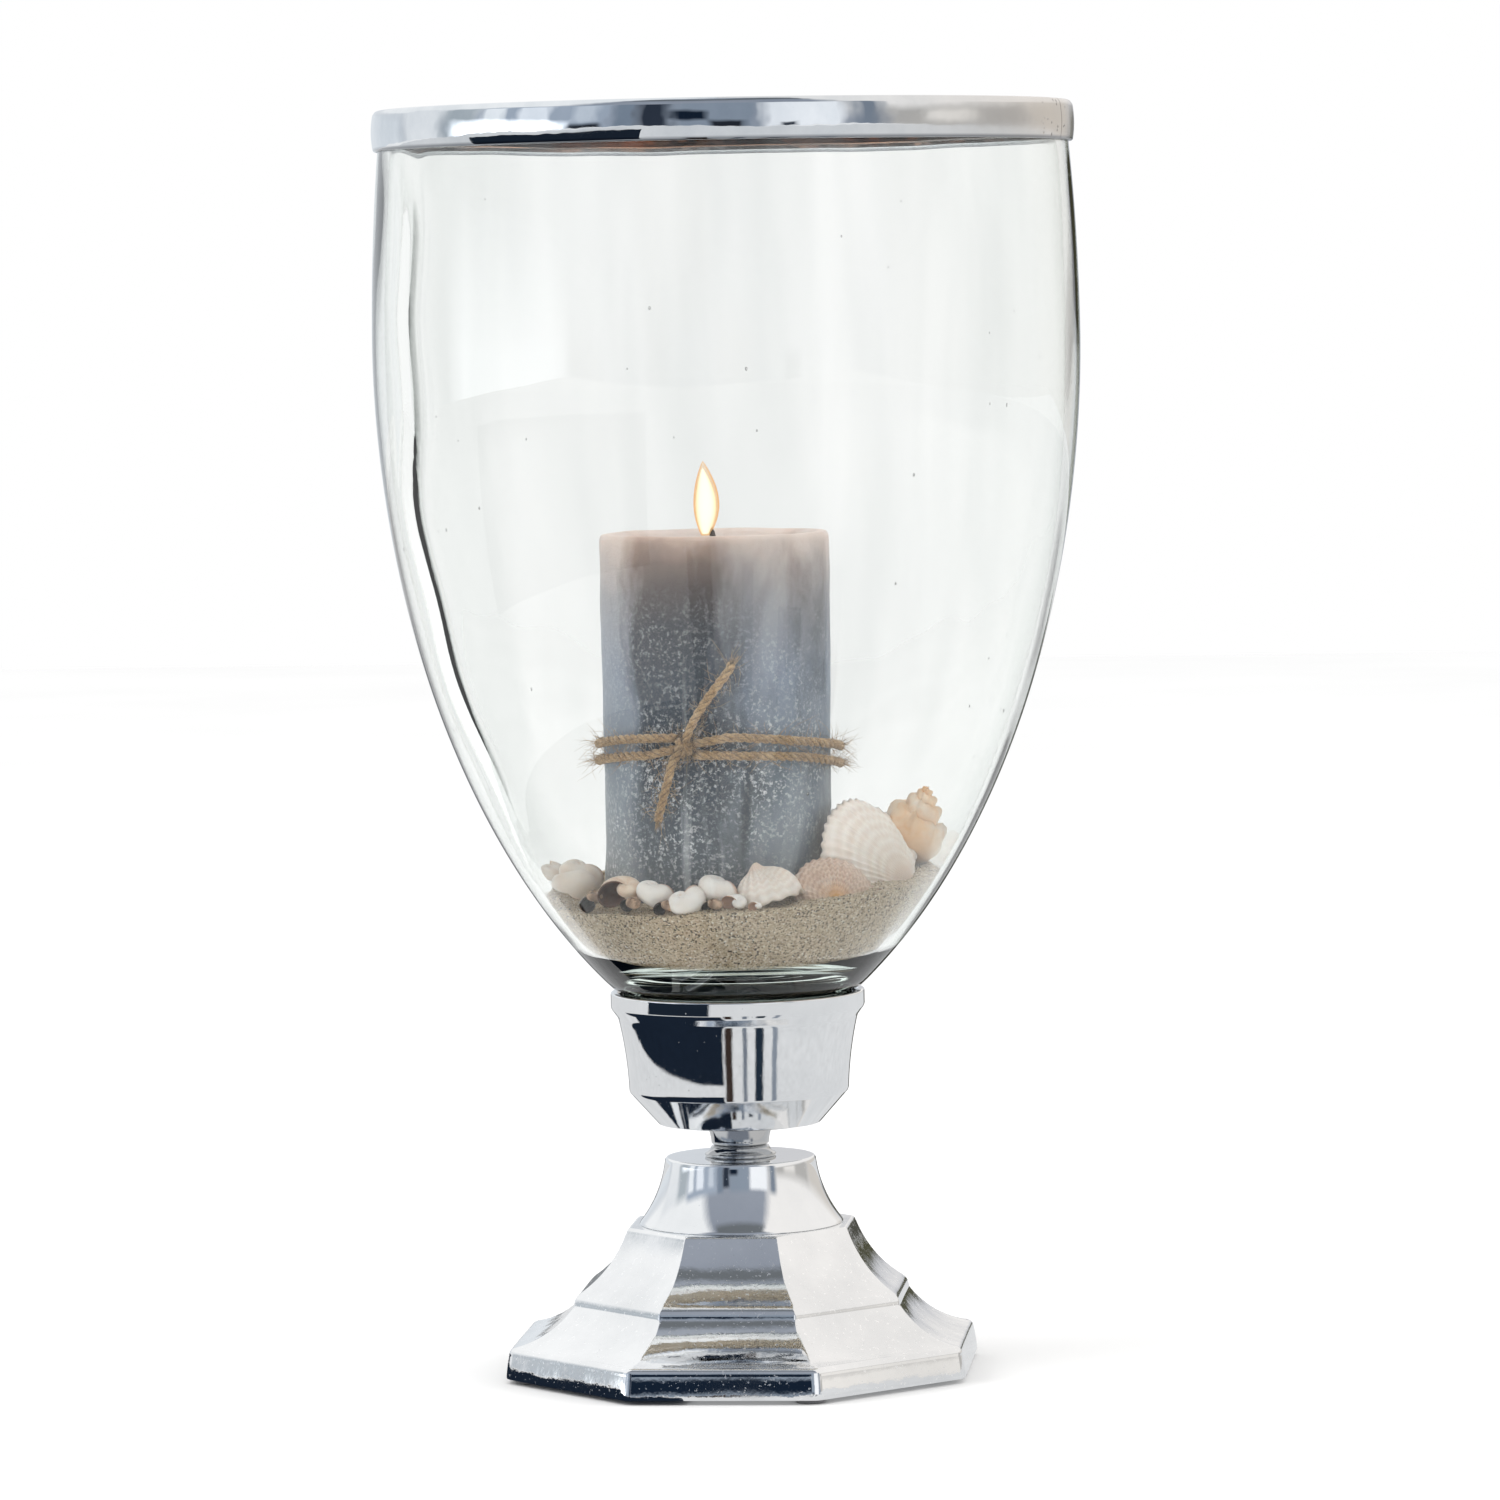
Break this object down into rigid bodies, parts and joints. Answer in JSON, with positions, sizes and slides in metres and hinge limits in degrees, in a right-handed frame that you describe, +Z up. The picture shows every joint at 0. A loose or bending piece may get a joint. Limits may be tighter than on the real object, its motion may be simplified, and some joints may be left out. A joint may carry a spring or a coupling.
{
  "type": "hurricane candle lantern",
  "caption": "Footed glass hurricane lantern: polished octagonal stepped foot and round cup, lift-out rimmed glass bowl, pillar candle tied with twine in sand and shells.",
  "frame": {"origin": "centre of the resting face under the foot", "axes": "+Z up along the lantern's axis, one flat of the octagonal foot faces -Y"},
  "size_m": [0.216, 0.216, 0.3875],
  "materials": {
    "polished_metal": "mirror polished cast and turned aluminium",
    "felt": "dense felt",
    "rubber": "satin moulded rubber",
    "steel": "zinc plated",
    "glass": "clear hand-blown glass with seeds and soft ripples",
    "sand": "dry beach sand",
    "shell_cream": "matt ribbed shell",
    "shell_orange": "banded shell",
    "shell_brown": "mottled shell",
    "shell_white": "smooth shell",
    "wax": "rustic slate-blue wax with frosting",
    "melted_wax": "liquid wax",
    "wick": "charred braided cotton",
    "jute": "twisted jute twine"
  },
  "bodies": {
    "stand": {"foot": "polished_metal", "felt_pads": "felt", "collar": "polished_metal", "ferrule": "polished_metal", "boss": "polished_metal", "cup": "polished_metal", "cup_gasket": "rubber", "tie_bolt": "steel", "cup_washer": "steel", "foot_washer": "steel", "spring_washer": "steel", "hex_nut": "steel"},
    "bowl": {"glass_bowl": "glass", "rim_band": "polished_metal", "sand": "sand", "scallop_large": "shell_cream", "scallop_small": "shell_orange", "whelk": "shell_orange", "cockle": "shell_cream", "nerite": "shell_brown", "moon_snails": "shell_white", "pebble_shells": "shell_white", "brown_snails": "shell_brown", "cream_shells": "shell_cream"},
    "candle": {"candle": "wax", "melt_pool": "melted_wax", "wick": "wick", "twine_wraps": "jute", "twine_knot": "jute", "twine_tails": "jute"}
  },
  "joints": [
    {"name": "bowl_lift", "type": "slide", "parent": "stand", "child": "bowl", "axis": [0, 0, 1], "range_m": [0, 0.045]},
    {"name": "candle_lift", "type": "slide", "parent": "bowl", "child": "candle", "axis": [0, 0, 1], "range_m": [0, 0.27]}
  ]
}
